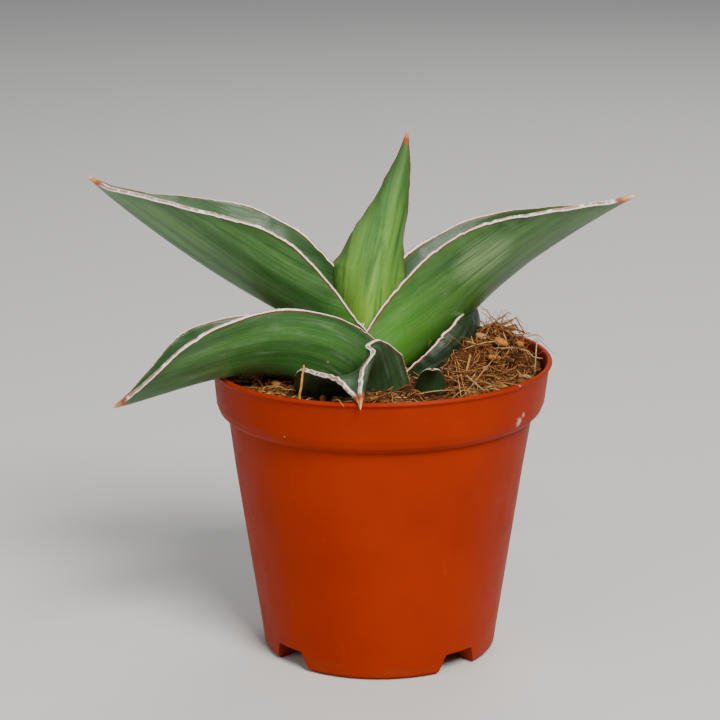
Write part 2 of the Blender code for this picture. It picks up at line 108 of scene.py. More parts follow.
# The CAD's leaves.  Margin moves shift a margin, and keel moves the middle of the blade: share
# of the length, then mm along x and z.
LEAVES = {
    "leaf_centre": dict(
        base=(-2.2, 3.3, 72.5), length=68.0,
        rise=(101.5, 75.5, 85.0), heading=(-9.0, 18.0, -9.5), roll=(-104.0, -96.0),
        half_width=15.7, base_width=0.69, widest=0.41, taper=0.81,
        keel=(9.5, 22.0), margin=(88.0, 70.5)),
    "leaf_right": dict(
        base=(3.4, 2.8, 71.8), length=82.2,
        rise=(38.0, 37.0, 30.5), heading=(33.5, 2.5, -16.0), roll=(-5.5, -12.0),
        half_width=25.8, base_width=0.72, widest=0.46, taper=1.76,
        keel=(28.5, 8.0), margin=(140.5, 11.5),
        keel_moves=[(0.0, 0.0, 0.0), (0.10, 0.9, -0.9), (0.20, 1.6, -1.5), (0.30, 1.4, -1.3),
                    (0.45, 0.5, -0.5), (0.60, 0.0, 0.0), (1.0, 0.0, 0.0)]),
    "leaf_upper_left": dict(
        base=(-2.4, 6.0, 77.2), length=90.2,
        rise=(22.5, 35.0, 40.5), heading=(159.5, 194.5, 167.0), roll=(-19.0, 15.0),
        half_width=26.0, base_width=0.38, widest=0.50, taper=1.72,
        keel=(23.5, 23.0), margin=(132.5, 11.5)),
    "leaf_lower_left": dict(
        base=(-7.5, -9.8, 61.9), length=71.1,
        rise=(72.5, 1.0, -14.0), heading=(194.0, 200.5, 179.0), roll=(22.0, 8.0),
        half_width=19.9, base_width=1.10, widest=0.61, taper=1.61,
        keel=(38.0, 12.0), margin=(125.5, 32.5)),
    "leaf_back_right": dict(
        base=(12.7, 4.6, 64.7), length=37.4,
        rise=(37.5, 40.5, 41.5), heading=(12.5, 67.5, 82.0), roll=(-5.5, -27.0),
        half_width=20.2, base_width=0.84, widest=0.44, taper=1.75,
        keel=(3.5, 11.0), margin=(119.5, 117.0),
        margin_moves={
            -1: [(0.00, 0.0, 0.0), (0.15, -1.1, 0.1), (0.30, -1.5, 0.0), (0.45, -1.3, -0.6),
                 (0.60, -1.2, -1.4), (0.80, -0.6, -2.2), (1.00, 0.0, -1.0)]}),
    "leaf_front": dict(
        base=(-8.1, -19.9, 70.4), length=33.6,
        rise=(62.5, 17.0, -44.5), heading=(280.0, 283.0, 249.5), roll=(-6.5, 62.0),
        half_width=21.2, base_width=0.98, widest=0.15, taper=0.91,
        keel=(-3.5, 15.0), margin=(63.0, 89.0),
        margin_moves={
            1: [(0.00, 0.00, 0.00), (0.24, 0.00, 0.00), (0.29, -0.15, -0.36),
                (0.34, -0.24, -0.44), (0.39, -0.66, -1.04), (0.43, -1.77, -1.94),
                (0.46, -1.19, -2.48), (0.50, 0.29, -2.75), (0.54, 0.68, -2.92),
                (0.58, 0.49, -3.04), (0.63, -0.49, -3.45), (0.68, -0.87, -3.26),
                (0.75, -0.83, -3.04), (0.83, -0.63, -1.87), (0.89, -0.05, -1.09),
                (0.94, 0.00, -0.24), (1.00, 0.00, 0.00)],
            -1: [(0.00, 4.01, -3.40), (0.05, 4.37, -2.92), (0.10, 4.45, -2.14),
                 (0.15, 4.45, -1.46), (0.20, 3.40, -0.68), (0.25, 2.82, -0.29),
                 (0.29, 2.19, -0.19), (0.34, 1.56, -0.36), (0.39, 1.17, -0.68),
                 (0.44, 0.73, -0.73), (0.48, 0.24, -0.66), (0.53, 0.24, -0.41),
                 (0.57, 0.29, -0.29), (0.62, 0.19, -0.29), (0.66, 0.00, -0.12),
                 (0.75, 0.00, -0.24), (0.87, 0.00, -0.24), (0.95, 0.00, 0.00), (1.00, 0.00, 0.00)]}),
    "leaf_small": dict(
        base=(13.4, -12.6, 68.6), length=13.8,
        rise=(74.0, 66.5, 23.0), heading=(272.0, 272.5, 266.5), roll=(1.0, 0.5),
        half_width=5.2, base_width=1.05, widest=0.30, taper=1.90,
        keel=(1.5, 8.0), margin=(65.0, 70.5)),
}

# Colours of each leaf: the dark and light of its stripes, and how dusty it is.  Fresh is the share
# of the length that is bright green, inside darkens the channel, and shade is the length of the
# painted shade at the foot, in mm.  Pale is a painted highlight, a soft pale patch for the light's
# broad sheen: its middle along and across, its reach and its strength.
LEAF_LOOKS = {
    "leaf_centre": dict(dark=(0.075, 0.205, 0.030), light=(0.210, 0.420, 0.080), dust=0.03,
                        young=True),
    "leaf_right": dict(dark=(0.020, 0.078, 0.012), light=(0.082, 0.200, 0.040), dust=0.06,
                       fresh=0.42, inside=0.75, pale=(40.5, -16.0, 12.0, 0.55)),
    "leaf_upper_left": dict(dark=(0.036, 0.115, 0.022), light=(0.125, 0.275, 0.080), dust=0.07,
                            fresh=0.25, inside=0.6),
    "leaf_lower_left": dict(dark=(0.022, 0.082, 0.015), light=(0.068, 0.180, 0.038), dust=0.10,
                            inside=0.75, shade=20.0),
    # The back-right, front and small leaves get far darker tones than the others: mostly painted
    # shade, as they lie low, under the other leaves.
    "leaf_back_right": dict(dark=(0.004, 0.015, 0.005), light=(0.014, 0.036, 0.011), dust=0.05),
    "leaf_front": dict(dark=(0.013, 0.036, 0.013), light=(0.034, 0.075, 0.027), dust=0.12),
    "leaf_small": dict(dark=(0.012, 0.040, 0.014), light=(0.028, 0.070, 0.024), dust=0.10),
}

# Tones of coir, and the loose pieces on it.  Chips: place above the coir, length, width and
# thickness, turn and tilt in degrees, tone.  Straws and hairs: radius, tone, places above the coir.
TONES = np.array([(0.46, 0.20, 0.055), (0.34, 0.135, 0.035), (0.20, 0.070, 0.018),
                  (0.58, 0.31, 0.11), (0.10, 0.034, 0.010), (0.68, 0.44, 0.20)])
CHIPS = [
    ((32.3, 1.0, 2.3), (3.8, 3.2, 2.0), 20.0, 25.0, (0.62, 0.25, 0.05)),
    ((29.6, -3.4, 2.1), (2.8, 2.2, 1.6), 70.0, 20.0, (0.50, 0.19, 0.04)),
    ((35.0, 15.5, 3.5), (6.0, 2.0, 1.4), 5.0, -38.0, (0.56, 0.22, 0.05)),
    ((27.0, 1.0, 2.7), (3.0, 2.2, 1.6), -30.0, 15.0, (0.50, 0.28, 0.11)),
    ((-26.8, -13.5, 1.4), (3.0, 2.4, 1.6), 10.0, 10.0, (0.40, 0.18, 0.05)),
    ((-14.5, -27.5, 1.4), (1.8, 1.4, 2.2), 15.0, 10.0, (0.34, 0.15, 0.04)),
    ((37.4, 4.0, 1.9), (2.2, 1.8, 1.6), 50.0, 25.0, (0.52, 0.22, 0.06)),
]
STRAWS = [
    (0.33, (0.66, 0.29, 0.07), [(-20.6, -36.0, -0.6), (-20.0, -36.2, 6.0), (-18.9, -36.4, 13.6)]),
    (0.20, (0.45, 0.22, 0.07), [(-30.0, -13.5, 0.2), (-31.0, -14.4, 2.4), (-32.2, -15.2, 4.2)]),
    (0.17, (0.66, 0.48, 0.26), [(41.0, -2.0, 0.2), (41.3, -1.6, 6.0), (41.6, -1.2, 10.8)]),
    (0.34, (0.55, 0.30, 0.10), [(22.6, -8.0, 0.6), (23.2, -6.4, 2.0), (23.9, -4.6, 3.0)]),
    (0.26, (0.60, 0.36, 0.13), [(27.0, -18.0, 0.6), (24.8, -14.0, 1.4), (22.6, -10.0, 1.8)]),
]
HAIRS = [
    (0.13, (0.60, 0.36, 0.13), [(19.2, 3.0, 1.5), (20.5, -11, 1.4), (20.9, -28.5, 0.8)]),
    (0.11, (0.52, 0.28, 0.09), [(20.3, -4.0, 1.6), (21.6, -14, 1.7), (22.4, -24.5, 0.8)]),
    (0.10, (0.66, 0.46, 0.22), [(22.2, -17.7, 1.0), (27.0, -9.0, 2.2), (31.8, -2.0, 3.0)]),
    (0.10, (0.55, 0.30, 0.10), [(-15.5, -27.0, 0.6), (-13.0, -34.0, 2.6), (-10.6, -43.0, 6.3797),
                                (-9.0, -45.6, 5.0643)]),
    (0.14, (0.66, 0.44, 0.18), [(2.0, -36.6, 0.8), (5.0, -35.4, 1.2), (8.6, -33.0, 0.8)]),
    (0.09, (0.75, 0.62, 0.42), [(-20.6, -18.0, 0.8), (-19.6, -16.5, 1.8), (-18.0, -15.6, 2.2)]),
    (0.10, (0.75, 0.62, 0.42), [(-19.6, -16.5, 1.7), (-19.4, -19.0, 2.4)]),
    (0.11, (0.10, 0.05, 0.02), [(-23.0, -33.0, 0.4), (-22.4, -34.6, 4.0), (-21.4, -35.6, 8.4)]),
    (0.08, (0.60, 0.40, 0.18), [(38.4, 12.0, 1.0), (39.6, 13.5, 5.5), (40.0, 14.0, 8.5)]),
    (0.08, (0.50, 0.28, 0.09), [(33.0, 18.0, 0.5), (32.0, 19.5, 3.0), (30.0, 20.5, 5.0)]),
    (0.09, (0.60, 0.40, 0.18), [(30.0, 24.0, 0.2), (28.8, 25.2, 3.0), (27.0, 26.0, 6.0)]),
    (0.12, (0.62, 0.26, 0.06), [(36.0, 17.0, 0.5), (37.0, 18.0, 3.4), (36.6, 19.4, 6.2)]),
]


# ------------------------------------------------------------------ shader helpers

class Graph:
    """Short way to write a node material."""

    def __init__(self, name):
        self.material = bpy.data.materials.new(name)
        self.material.use_nodes = True
        self.nodes = self.material.node_tree.nodes
        self.links = self.material.node_tree.links
        self.shader = self.nodes["Principled BSDF"]

    def put(self, socket, value):
        if isinstance(value, bpy.types.NodeSocket):
            self.links.new(value, socket)
        elif isinstance(value, tuple) and len(value) == 3 and socket.type == "RGBA":
            socket.default_value = (*value, 1.0)
        else:
            socket.default_value = value

    def set(self, **values):
        for name, value in values.items():
            self.put(self.shader.inputs[name.replace("_", " ")], value)

    def attribute(self, name, colour=False):
        node = self.nodes.new("ShaderNodeAttribute")
        node.attribute_name = name
        return node.outputs["Color"] if colour else node.outputs["Fac"]

    def math(self, kind, a, b, clamp=False):
        node = self.nodes.new("ShaderNodeMath")
        node.operation = kind
        node.use_clamp = clamp
        for socket, value in zip(node.inputs, (a, b)):
            self.put(socket, value)
        return node.outputs[0]

    def times(self, a, b):
        return self.math("MULTIPLY", a, b)

    def plus(self, a, b, clamp=False):
        return self.math("ADD", a, b, clamp)

    def sway(self, value, size):
        """A noise, moved to lie about zero and scaled."""
        return self.times(self.math("SUBTRACT", value, 0.5), size)

    def ramp(self, value, low, high):
        """Smooth step from 0 at low to 1 at high."""
        node = self.nodes.new("ShaderNodeMapRange")
        node.interpolation_type = "SMOOTHSTEP"
        for socket, item in zip(node.inputs, (value, low, high)):
            self.put(socket, item)
        return node.outputs[0]

    def mix(self, share, a, b, kind="MIX"):
        node = self.nodes.new("ShaderNodeMix")
        node.data_type = "RGBA"
        node.blend_type = kind
        self.put(node.inputs[0], share)
        self.put(node.inputs[6], a)
        self.put(node.inputs[7], b)
        return node.outputs[2]

    def tint(self, colour, share, strength, tone):
        """Colour, moved towards a tone by a share of a strength."""
        return self.mix(self.times(share, strength), colour, tone)

    def vector(self, x, y, z):
        node = self.nodes.new("ShaderNodeCombineXYZ")
        for socket, value in zip(node.inputs, (x, y, z)):
            self.put(socket, value)
        return node.outputs[0]

    def place(self, scale=(1.0, 1.0, 1.0)):
        """Object coordinates in millimetres, scaled."""
        node = self.nodes.new("ShaderNodeTexCoord")
        mapping = self.nodes.new("ShaderNodeMapping")
        mapping.inputs["Scale"].default_value = [1000.0 * item for item in scale]
        self.links.new(node.outputs["Object"], mapping.inputs["Vector"])
        return mapping.outputs[0]

    def noise(self, vector, scale, detail=3.0, rough=0.55, warp=0.0):
        node = self.nodes.new("ShaderNodeTexNoise")
        self.put(node.inputs["Vector"], vector)
        node.inputs["Scale"].default_value = scale
        node.inputs["Detail"].default_value = detail
        node.inputs["Roughness"].default_value = rough
        node.inputs["Distortion"].default_value = warp
        return node.outputs[0]

    def cells(self, vector, scale):
        """Distance to the nearest of some scattered points."""
        node = self.nodes.new("ShaderNodeTexVoronoi")
        self.put(node.inputs["Vector"], vector)
        node.inputs["Scale"].default_value = scale
        return node.outputs["Distance"]

    def distance(self, vector, point):
        node = self.nodes.new("ShaderNodeVectorMath")
        node.operation = "DISTANCE"
        self.put(node.inputs[0], vector)
        node.inputs[1].default_value = point
        return node.outputs["Value"]

    def height(self, vector):
        node = self.nodes.new("ShaderNodeSeparateXYZ")
        self.put(node.inputs[0], vector)
        return node.outputs[2]

    def bump(self, height, strength, distance):
        node = self.nodes.new("ShaderNodeBump")
        node.inputs["Strength"].default_value = strength
        node.inputs["Distance"].default_value = distance
        self.put(node.inputs["Height"], height)
        self.put(self.shader.inputs["Normal"], node.outputs[0])


# ------------------------------------------------------------------ mesh helpers

def add_mesh(name, verts, faces, material, attributes=None):
    """A mesh object from points in pot-centred mm."""
    mesh = bpy.data.meshes.new(name)
    mesh.from_pydata(((np.asarray(verts) + POT_AXIS) * MM).tolist(), [], [list(f) for f in faces])
    for key, values in (attributes or {}).items():
        values = np.asarray(values, dtype=np.float32)
        kind = "FLOAT" if values.ndim == 1 else "FLOAT_COLOR"
        layer = mesh.attributes.new(key, kind, "POINT")
        layer.data.foreach_set("value" if values.ndim == 1 else "color", values.ravel())
    mesh.materials.append(material)
    mesh.polygons.foreach_set("use_smooth", [True] * len(mesh.polygons))
    mesh.update()
    made = bpy.data.objects.new(name, mesh)
    bpy.context.scene.collection.objects.link(made)
    return made


def add_piece(name, verts, faces, material, nodes=(), attributes=None):
    """A visible piece, riding on the root body in place of the CAD nodes it is given."""
    piece = add_mesh(name, verts, faces, material, attributes)
    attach(piece, "root")
    if nodes:
        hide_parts(*nodes)
    return piece


def mend(piece):
    """Merge double points and turn every face outwards."""
    bm = bmesh.new()
    bm.from_mesh(piece.data)
    bmesh.ops.remove_doubles(bm, verts=bm.verts, dist=1e-6)
    bmesh.ops.recalc_face_normals(bm, faces=bm.faces)
    bm.to_mesh(piece.data)
    bm.free()


def cut(piece, cutters):
    """Take the cutters away from a piece."""
    for cutter in cutters:
        step = piece.modifiers.new("cut", "BOOLEAN")
        step.operation = "DIFFERENCE"
        step.solver = "MANIFOLD"
        step.object = cutter
    graph = bpy.context.evaluated_depsgraph_get()
    finished = bpy.data.meshes.new_from_object(piece.evaluated_get(graph))
    piece.modifiers.clear()
    piece.data = finished
    piece.data.polygons.foreach_set("use_smooth", [True] * len(finished.polygons))


def ring_faces(rows, sides, first=0):
    """Faces around a tube of closed rings, whose points start at the given number."""
    faces = []
    for row in range(rows - 1):
        low = first + row * sides
        for step in range(sides):
            after = (step + 1) % sides
            faces.append((low + step, low + after, low + sides + after, low + sides + step))
    return faces


def point_tree(points):
    tree = KDTree(len(points))
    for number, point in enumerate(points):
        tree.insert(point, number)
    tree.balance()
    return tree


def smooth_noise(count, knots, seed):
    """Smooth random curve in -1..1 with about this many knots."""
    values = np.random.default_rng(seed).uniform(-1, 1, knots + 3)
    at = np.linspace(0, knots, count)
    index = np.clip(at.astype(int), 0, knots - 1)
    share = at - index
    share = share * share * (3 - 2 * share)
    return values[index] * (1 - share) + values[index + 1] * share


def smooth_table(at, knots, values):
    """Rounded interpolation through a short table."""
    fine = np.linspace(0, 1, 400)
    level = np.interp(fine, knots, values)
    kernel = np.hanning(13)
    padded = np.concatenate((np.full(6, level[0]), level, np.full(6, level[-1])))
    return np.interp(at, fine, np.convolve(padded, kernel / kernel.sum(), "valid"))


# ------------------------------------------------------------------ leaves

def three(values, share):
    """Smooth curve through values at the start, the middle and the end."""
    first, middle, last = values
    return (first * (1 - share) * (1 - 2 * share) + 4 * middle * share * (1 - share)
            + last * share * (2 * share - 1))


def two(values, share):
    return values[0] + (values[1] - values[0]) * share


def is_big(leaf):
    return leaf["half_width"] > SMALL_HALF_WIDTH


def leaf_axes(leaf, share):
    """Points of the keel line, and the directions along it, across it and into the channel."""
    rise = np.radians(three(leaf["rise"], share))
    heading = np.radians(three(leaf["heading"], share))
    forward = np.stack((np.cos(rise) * np.cos(heading), np.cos(rise) * np.sin(heading),
                        np.sin(rise)), 1)
    left = np.stack((-np.sin(heading), np.cos(heading), np.zeros(len(share))), 1)
    steps = (forward[1:] + forward[:-1]) * 0.5 * (np.diff(share) * leaf["length"])[:, None]
    place = np.array(leaf["base"]) + np.vstack((np.zeros(3), np.cumsum(steps, 0)))
    roll = np.radians(two(leaf["roll"], share))[:, None]
    up = np.cross(forward, left)
    side = np.cos(roll) * left + np.sin(roll) * up
    inward = np.cos(roll) * up - np.sin(roll) * left
    return place, forward, side, inward


def leaf_width(leaf, share, detail):
    """Half width along the leaf.  The fine leaf ends in a round spine."""
    width = leaf["half_width"] * np.where(
        share < leaf["widest"],
        leaf["base_width"] + (1 - leaf["base_width"]) * np.sin(
            0.5 * np.pi * np.minimum(share / leaf["widest"], 1)),
        1 - np.clip((share - leaf["widest"]) / (1 - leaf["widest"]), 0, 1) ** leaf["taper"])
    if not detail:
        return np.maximum(width, 0.7)
    spine_length = 5.5 if is_big(leaf) else 2.0
    spine = 0.10 + 0.62 * np.clip((1 - share) * leaf["length"] / spine_length, 0, 1) ** 0.8
    return np.sqrt(width ** 2 + spine ** 2)


def half_section(leaf, share, width, keel, margin, extra, wave, columns, grow, detail):
    """Outer and inner outline of half a section, with its distance from the keel and the edge."""
    steps = EDGE_STEPS if detail else EDGE_STEPS[:1]
    near = steps[steps < width * 0.45]
    rest = np.linspace(near[-1], width * 0.46, len(steps) - len(near) + 1)[1:]
    near = np.concatenate((near, rest))
    core = np.linspace(0, width - near[-1], columns + 1)[:-1]
    arc = np.concatenate((core, (width - near)[::-1]))
    edge = width - arc
    arc = arc + extra * np.clip(1 - edge / 3.0, 0, 1) ** 2
    part = arc / width
    turn = margin - keel
    slope = keel + turn * part
    if abs(turn) < 1e-3:
        line = np.stack((arc * np.cos(slope), arc * np.sin(slope)), 1)
    else:
        line = np.stack((np.sin(slope) - np.sin(keel), np.cos(keel) - np.cos(slope)), 1) * width / turn
    normal = np.stack((-np.sin(slope), np.cos(slope)), 1)
    normal[0] = (0.0, 1.0)

    deep = TIP_THICKNESS + (KEEL_THICKNESS - TIP_THICKNESS) * (1 - share ** 3)
    deep = min(deep, KEEL_SHARE * leaf["half_width"] + TIP_THICKNESS)
    thick = MARGIN_THICKNESS + (deep - MARGIN_THICKNESS) * (1 - np.minimum(part, 1) ** 2)
    thick = np.minimum(thick, MOST_OF_RADIUS * width / max(abs(turn), LEAST_TURN))
    if detail:
        thick = np.minimum(thick, 2.0 * width)
    out = np.full_like(part, -grow)
    deeper = thick + grow
    if detail:
        # pale rounded cord along the edge
        cord = np.exp(-((edge - CORD_AT) / CORD_SPREAD) ** 2)
        lift = CORD_LIFT * cord * min(1.0, width / 3.0) * (1 if is_big(leaf) else 0.3)
        round_off = np.sqrt(np.clip(1 - (1 - np.minimum(edge / EDGE_ROUND, 1.0)) ** 2, 0, 1))
        round_off = np.maximum(round_off, 0.04)
        middle = thick * 0.5
        out = middle + (out - lift - middle) * round_off
        deeper = middle + (deeper + lift - middle) * round_off
    sway = wave * part ** 5
    outer = line + normal * (out + sway)[:, None]
    inner = line + normal * (deeper + sway)[:, None]
    inner[:, 0] = np.maximum(inner[:, 0], INNER_LEAST * width * part)
    return outer, inner, arc, edge


def leaf_body(leaf, stations, columns, grow=0.0, detail=True):
    """Closed leaf as points, faces and values at each point.  Same law as the CAD leaf, with a
    thickened wavy margin and a round spine when detail is asked for."""
    share = np.linspace(0, 1, stations)
    if detail:
        share = 1 - (1 - share) ** 1.15
    place, forward, side, inward = leaf_axes(leaf, share)
    width = leaf_width(leaf, share, detail)
    to_tip = (1 - share) * leaf["length"]
    keel = np.radians(two(leaf["keel"], share)) * (1 - share ** KEEL_FADE)
    margin = np.radians(two(leaf["margin"], share))
    rows = []
    values = []
    for index in range(stations):
        rings = ([], [])
        ring_values = ([], [])
        for sign in (-1, 1):
            extra = wave = 0.0
            if detail and is_big(leaf):
                calm = min(1.0, to_tip[index] / 9.0) * min(1.0, width[index] / 6.0)
                slow, nick, bend = (item[index] for item in leaf["wave"][sign])
                extra = calm * (slow - nick)
                wave = calm * bend
            *lines, arc, edge = half_section(leaf, share[index], width[index], keel[index],
                                             margin[index], extra, wave, columns, grow, detail)
            for inner, line in enumerate(lines):
                points = (place[index] + side[index] * (sign * line[:, 0])[:, None]
                          + inward[index] * line[:, 1][:, None])
                data = np.stack((np.full_like(arc, share[index] * leaf["length"]), sign * arc, edge,
                                 np.full_like(arc, to_tip[index]), np.full_like(arc, inner)), 1)
                order = slice(None, None, -1) if sign == -1 else slice(1, None)
                rings[inner].extend(points[order])
                ring_values[inner].extend(data[order])
        rows.append(rings[0] + rings[1][::-1])
        values.append(ring_values[0] + ring_values[1][::-1])
    if grow:
        rows[0] = [point - forward[0] * grow for point in rows[0]]
        rows[-1] = [point + forward[-1] * grow for point in rows[-1]]
    around = len(rows[0])
    verts = np.array(rows).reshape(-1, 3)
    data = np.array(values).reshape(-1, len(LEAF_VALUES))
    shape_blade(leaf, verts, data[:, 1], np.repeat(share, around), np.repeat(width, around))
    return verts, ring_faces(stations, around) + leaf_caps(stations, around), data


def leaf_caps(stations, around):
    """Faces across the thickness at both ends, so that a hollow section fills correctly."""
    faces = []
    for row in (0, stations - 1):
        start = row * around
        for step in range(around // 2 - 1):
            quad = (start + step, start + step + 1, start + around - 2 - step,
                    start + around - 1 - step)
            faces.append(quad if row else quad[::-1])
    return faces


def shape_blade(leaf, verts, across, share, width):
    """Shift the margins and the middle of the blade by the leaf's tables."""
    reach = np.abs(across) / width
    moves = [((across * sign > 0) * np.clip(reach, 0, 1) ** 2.2, table)
             for sign, table in leaf.get("margin_moves", {}).items()]
    if "keel_moves" in leaf:
        moves.append((np.clip(1 - reach, 0, 1) ** 0.7, leaf["keel_moves"]))
    for weight, table in moves:
        knots, along_x, along_z = np.array(table).T
        verts[:, 0] += weight * smooth_table(share, knots, along_x)
        verts[:, 2] += weight * smooth_table(share, knots, along_z)


def leaf_waves(index):
    """Slow width changes, small nicks and out-of-plane waves of the two margins."""
    waves = {}
    for sign in (-1, 1):
        seed = 100 + index * 10 + sign
        local = np.random.default_rng(seed)
        slow = (0.28 * smooth_noise(STATIONS, 13, seed)
                + 0.07 * smooth_noise(STATIONS, 37, seed + 500))
        nick = np.zeros(STATIONS)
        for _ in range(7):
            at = local.uniform(8, STATIONS - 12)
            size = local.uniform(0.8, 2.2)
            nick += local.uniform(0.10, 0.42) * np.exp(-((np.arange(STATIONS) - at) / size) ** 2)
        wave = (0.45 * smooth_noise(STATIONS, 12, seed + 900)
                + 0.2 * smooth_noise(STATIONS, 30, seed + 950))
        waves[sign] = (slow, nick, wave)
    return waves


def leaf_material(name, leaf, look):
    """Waxy blade with lengthwise stripes, dust, a pale margin with its brown line, and a spine."""
    g = Graph(name)
    along, across, edge, to_tip, inner = (g.attribute(key) for key in LEAF_VALUES)
    length = leaf["length"]
    seed = float(sum(ord(letter) for letter in name) % 37)
    if not is_big(leaf):
        to_tip = g.times(to_tip, 5.0)
        edge = g.times(edge, 2.0)

    def streaks(across_scale, along_scale, shift, *settings):
        """Noise drawn out along the leaf."""
        place = g.vector(g.times(across, across_scale), g.times(along, along_scale), seed + shift)
        return g.noise(place, *settings)

    grain = g.noise(g.place(), 1.5, 4.0, 0.75)
    cloud = g.noise(g.place(), 0.09, 4.0, 0.6)
    fine = streaks(3.2, 0.05, 3, 0.8, 3.0, 0.6)
    hair = streaks(9.0, 0.10, 9, 1.0, 2.0, 0.5)
    wide = g.ramp(streaks(1.0, 0.035, 0, 0.30, 5.0, 0.65, 0.3), 0.36, 0.66)
    share = g.plus(g.times(wide, 0.62), g.times(g.ramp(fine, 0.35, 0.7), 0.30))
    share = g.plus(share, g.sway(grain, 0.55))
    share = g.plus(share, g.sway(cloud, 0.6), clamp=True)
    colour = g.mix(share, look["dark"], look["light"])
    if "young" in look:
        # broken darker stripes over yellow-green that is palest at the base
        dark = g.ramp(streaks(0.9, 0.11, 21, 0.42, 4.0, 0.6, 0.5), 0.46, 0.64)
        colour = g.tint(colour, dark, 0.62, (0.030, 0.110, 0.018))
        colour = g.tint(colour, g.ramp(along, length * 0.55, length * 0.85), 0.75,
                        (0.055, 0.165, 0.035))
        colour = g.tint(colour, g.ramp(along, length * 0.55, 0.0), 0.72,
                        g.mix(dark, (0.34, 0.58, 0.050), (0.11, 0.29, 0.028)))
    if "fresh" in look:
        colour = g.tint(colour, g.ramp(along, length * look["fresh"], length * 0.05), 0.6,
                        (0.085, 0.28, 0.018))
    # painted highlight: a soft pale patch where the light's broad sheen falls on the blade
    if "pale" in look:
        middle, off, reach, strength = look["pale"]
        here = g.vector(along, g.times(across, 1.7), 0.0)
        gap = g.times(g.distance(here, (middle, off * 1.7, 0.0)), 1 / reach)
        painted_highlight = g.times(g.ramp(g.math("POWER", gap, 2.0), 1.0, 0.0), g.ramp(fine, 0.25, 0.65))
        colour = g.tint(colour, painted_highlight, strength, (0.30, 0.42, 0.20))
    # painted shade: the foot of the blade darkened, where it lies in shade near the crown
    if "shade" in look:
        foot = g.ramp(along, look["shade"], look["shade"] * 0.4)
        colour = g.tint(colour, foot, 0.62, (0.008, 0.030, 0.008))
    colour = g.tint(colour, g.ramp(hair, 0.56, 0.70), 0.20, (0.17, 0.30, 0.09))
    colour = g.tint(colour, g.ramp(edge, 5.0, 0.8), 0.30, (0.010, 0.035, 0.006))

    # dust and old marks
    dusty = streaks(0.5, 0.12, 40, 0.9, 5.0, 0.65)
    colour = g.tint(colour, g.ramp(dusty, 0.50, 0.78), look["dust"] * 1.7, (0.42, 0.46, 0.36))
    speck = g.times(g.ramp(g.cells(g.place(), 0.19), 0.085, 0.05),
                    g.ramp(g.noise(g.place(), 0.11, 2.0), 0.60, 0.64))
    colour = g.mix(speck, colour, (0.30, 0.22, 0.10))

    # a red-brown line inside the pale edge, which fades in and out
    broken = g.noise(g.vector(along, across, seed), 0.55, 4.0, 0.7)
    brown = g.times(g.ramp(edge, 0.92, 0.74), g.ramp(broken, 0.26, 0.42))
    colour = g.tint(colour, brown, 0.92, (0.165, 0.030, 0.008))
    white = g.ramp(g.plus(edge, g.sway(broken, 0.45)), 0.52, 0.42)
    grime = g.noise(g.vector(along, 0.0, seed + 60), 0.45, 5.0, 0.7)
    colour = g.mix(white, colour,
                   g.mix(g.ramp(grime, 0.50, 0.72), (0.86, 0.84, 0.78), (0.72, 0.56, 0.42)))
    rust = g.times(g.ramp(edge, 0.20, 0.08), g.ramp(grime, 0.38, 0.50))
    colour = g.tint(colour, rust, 0.85, (0.30, 0.062, 0.014))
    if "inside" in look:
        # the channel side is in deeper green than the back of the blade
        channel = g.times(inner, g.ramp(edge, 0.6, 1.6))
        colour = g.tint(colour, channel, look["inside"], (0.012, 0.045, 0.012))

    # the spine is burnt at its foot, then orange, then tan
    for start, end, tone in ((5.2, 3.6, (0.30, 0.075, 0.020)), (3.4, 2.2, (0.58, 0.24, 0.070)),
                             (1.9, 0.6, (0.66, 0.47, 0.27))):
        colour = g.mix(g.ramp(to_tip, start, end), colour, tone)
    rough = g.plus(0.33, g.times(g.plus(g.ramp(dusty, 0.4, 0.8), white), 0.16))
    g.set(Base_Color=colour, Roughness=g.plus(rough, g.sway(fine, 0.10)), Specular_IOR_Level=0.42)
    ridges = g.plus(g.times(hair, 0.5), g.times(fine, 0.9))
    ridges = g.plus(ridges, g.times(g.times(g.noise(g.place(), 1.1, 4.0, 0.7), white), 1.6))
    ridges = g.plus(ridges, g.times(g.noise(g.place(), 0.35, 3.0), 0.5))
    g.bump(ridges, 0.35, 0.00028)
    return g.material


def largest_part(obj):
    """Keep the largest connected part of a mesh."""
    bm = bmesh.new()
    bm.from_mesh(obj.data)
    bm.verts.ensure_lookup_table()
    seen = np.zeros(len(bm.verts), bool)
    best = []
    for start in bm.verts:
        if seen[start.index]:
            continue
        stack = [start]
        seen[start.index] = True
        group = []
        while stack:
            vert = stack.pop()
            group.append(vert)
            for link in vert.link_edges:
                other = link.other_vert(vert)
                if not seen[other.index]:
                    seen[other.index] = True
                    stack.append(other)
        if len(group) > len(best):
            best = group
    keep = set(v.index for v in best)
    bmesh.ops.delete(bm, geom=[v for v in bm.verts if v.index not in keep], context="VERTS")
    bm.to_mesh(obj.data)
    bm.free()


